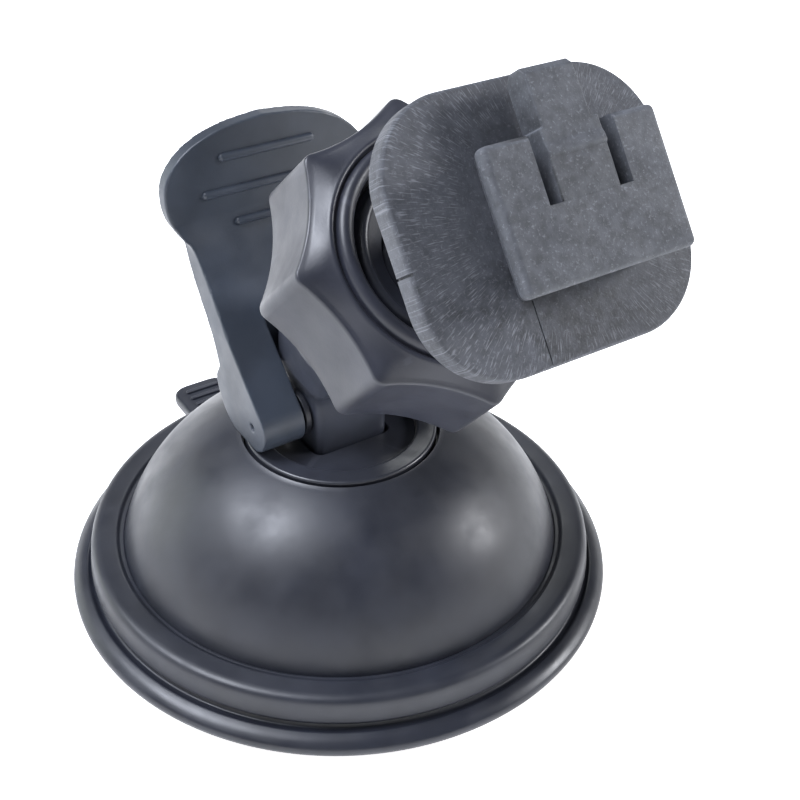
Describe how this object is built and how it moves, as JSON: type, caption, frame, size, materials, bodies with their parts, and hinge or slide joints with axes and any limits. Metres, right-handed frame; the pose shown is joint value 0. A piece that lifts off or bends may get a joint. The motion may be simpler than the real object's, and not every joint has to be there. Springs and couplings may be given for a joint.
{
  "type": "suction cup mount",
  "caption": "Suction cup mount with a domed base, a folding cam lever, and a ball-jointed plate that a small camera slides onto.",
  "frame": {"origin": "centre of the suction pad's flat underside, in the plane that presses on the glass", "axes": "+Z out of the glass along the pad's axis; -Y is the side the neck leans towards; X along the lever's pin"},
  "size_m": [0.06, 0.0745, 0.0669],
  "materials": {
    "pad_rubber": "smooth black moulded rubber",
    "grip_gel": "glossy tacky gel",
    "dome_plastic": "satin black moulded plastic",
    "ring_plastic": "satin black moulded plastic, slightly worn",
    "seat_nylon": "natural nylon",
    "spring_steel": "blackened spring wire",
    "insert_nylon": "natural nylon",
    "screw_steel": "zinc plated",
    "neck_plastic": "satin black moulded plastic",
    "pin_steel": "blackened steel",
    "washer_nylon": "black nylon",
    "lever_plastic": "satin black moulded plastic",
    "ball_plastic": "black moulded plastic, polished by wear",
    "pressure_plastic": "satin black moulded plastic",
    "nut_plastic": "satin black moulded plastic",
    "stem_plastic": "black moulded plastic",
    "plate_plastic": "coarse grained black plastic with pale scuffs",
    "tongue_plastic": "coarse grained black plastic"
  },
  "bodies": {
    "base": {"suction_pad": "pad_rubber", "grip_skin": "grip_gel", "dome_housing": "dome_plastic", "wear_ring": "ring_plastic", "spring_seat": "seat_nylon", "return_spring": "spring_steel"},
    "neck": {"neck_post": "neck_plastic", "pad_insert": "insert_nylon", "post_screw": "screw_steel", "lever_pin": "pin_steel", "pin_washer_left": "washer_nylon", "pin_washer_right": "washer_nylon", "ball_seat": "seat_nylon"},
    "lever": {"cam_lever": "lever_plastic"},
    "clamp_ring": {"pressure_ring": "pressure_plastic"},
    "nut": {"lock_nut": "nut_plastic"},
    "ball_body": {"ball": "ball_plastic"},
    "stem": {"ball_stem": "stem_plastic"},
    "plate": {"mount_plate": "plate_plastic"},
    "latch": {"latch_tongue": "tongue_plastic"}
  },
  "joints": [
    {"name": "plunger_lift", "type": "slide", "parent": "base", "child": "neck", "axis": [0, 0, 1], "range_m": [0, 0.0045], "deforming": ["return_spring"]},
    {"name": "lever_fold", "type": "hinge", "parent": "neck", "child": "lever", "pos_m": [0, 0.0004, 0.0213], "axis": [-1, 0, 0], "range_deg": [0, 75]},
    {"name": "ring_travel", "type": "slide", "parent": "neck", "child": "clamp_ring", "axis": [0, -0.6871, 0.7266], "range_m": [0, 0.00151]},
    {"name": "nut_turn", "type": "hinge", "parent": "clamp_ring", "child": "nut", "pos_m": [0, -0.01753, 0.04776], "axis": [0, -0.6871, 0.7266], "range_deg": [0, 360]},
    {"name": "ball_pitch", "type": "hinge", "parent": "neck", "child": "ball_body", "pos_m": [0, -0.01396, 0.04398], "axis": [1, 0, 0], "range_deg": [-22, 5]},
    {"name": "ball_swing", "type": "hinge", "parent": "ball_body", "child": "stem", "pos_m": [0, -0.01396, 0.04398], "axis": [0, 0.6115, 0.7912], "range_deg": [-12, 12]},
    {"name": "plate_spin", "type": "hinge", "parent": "stem", "child": "plate", "pos_m": [0, -0.01396, 0.04398], "axis": [0, -0.7912, 0.6115], "continuous": true},
    {"name": "latch_flex", "type": "hinge", "parent": "plate", "child": "latch", "pos_m": [0, -0.03182, 0.05817], "axis": [-1, 0, 0], "range_deg": [0, 8], "stiffness_Nm_per_rad": 0.02}
  ],
  "couplings": [
    {"joint": "plunger_lift", "follows": "lever_fold", "m_per_rad": 0.0034},
    {"joint": "ring_travel", "follows": "nut_turn", "m_per_rad": 0.00023873}
  ]
}
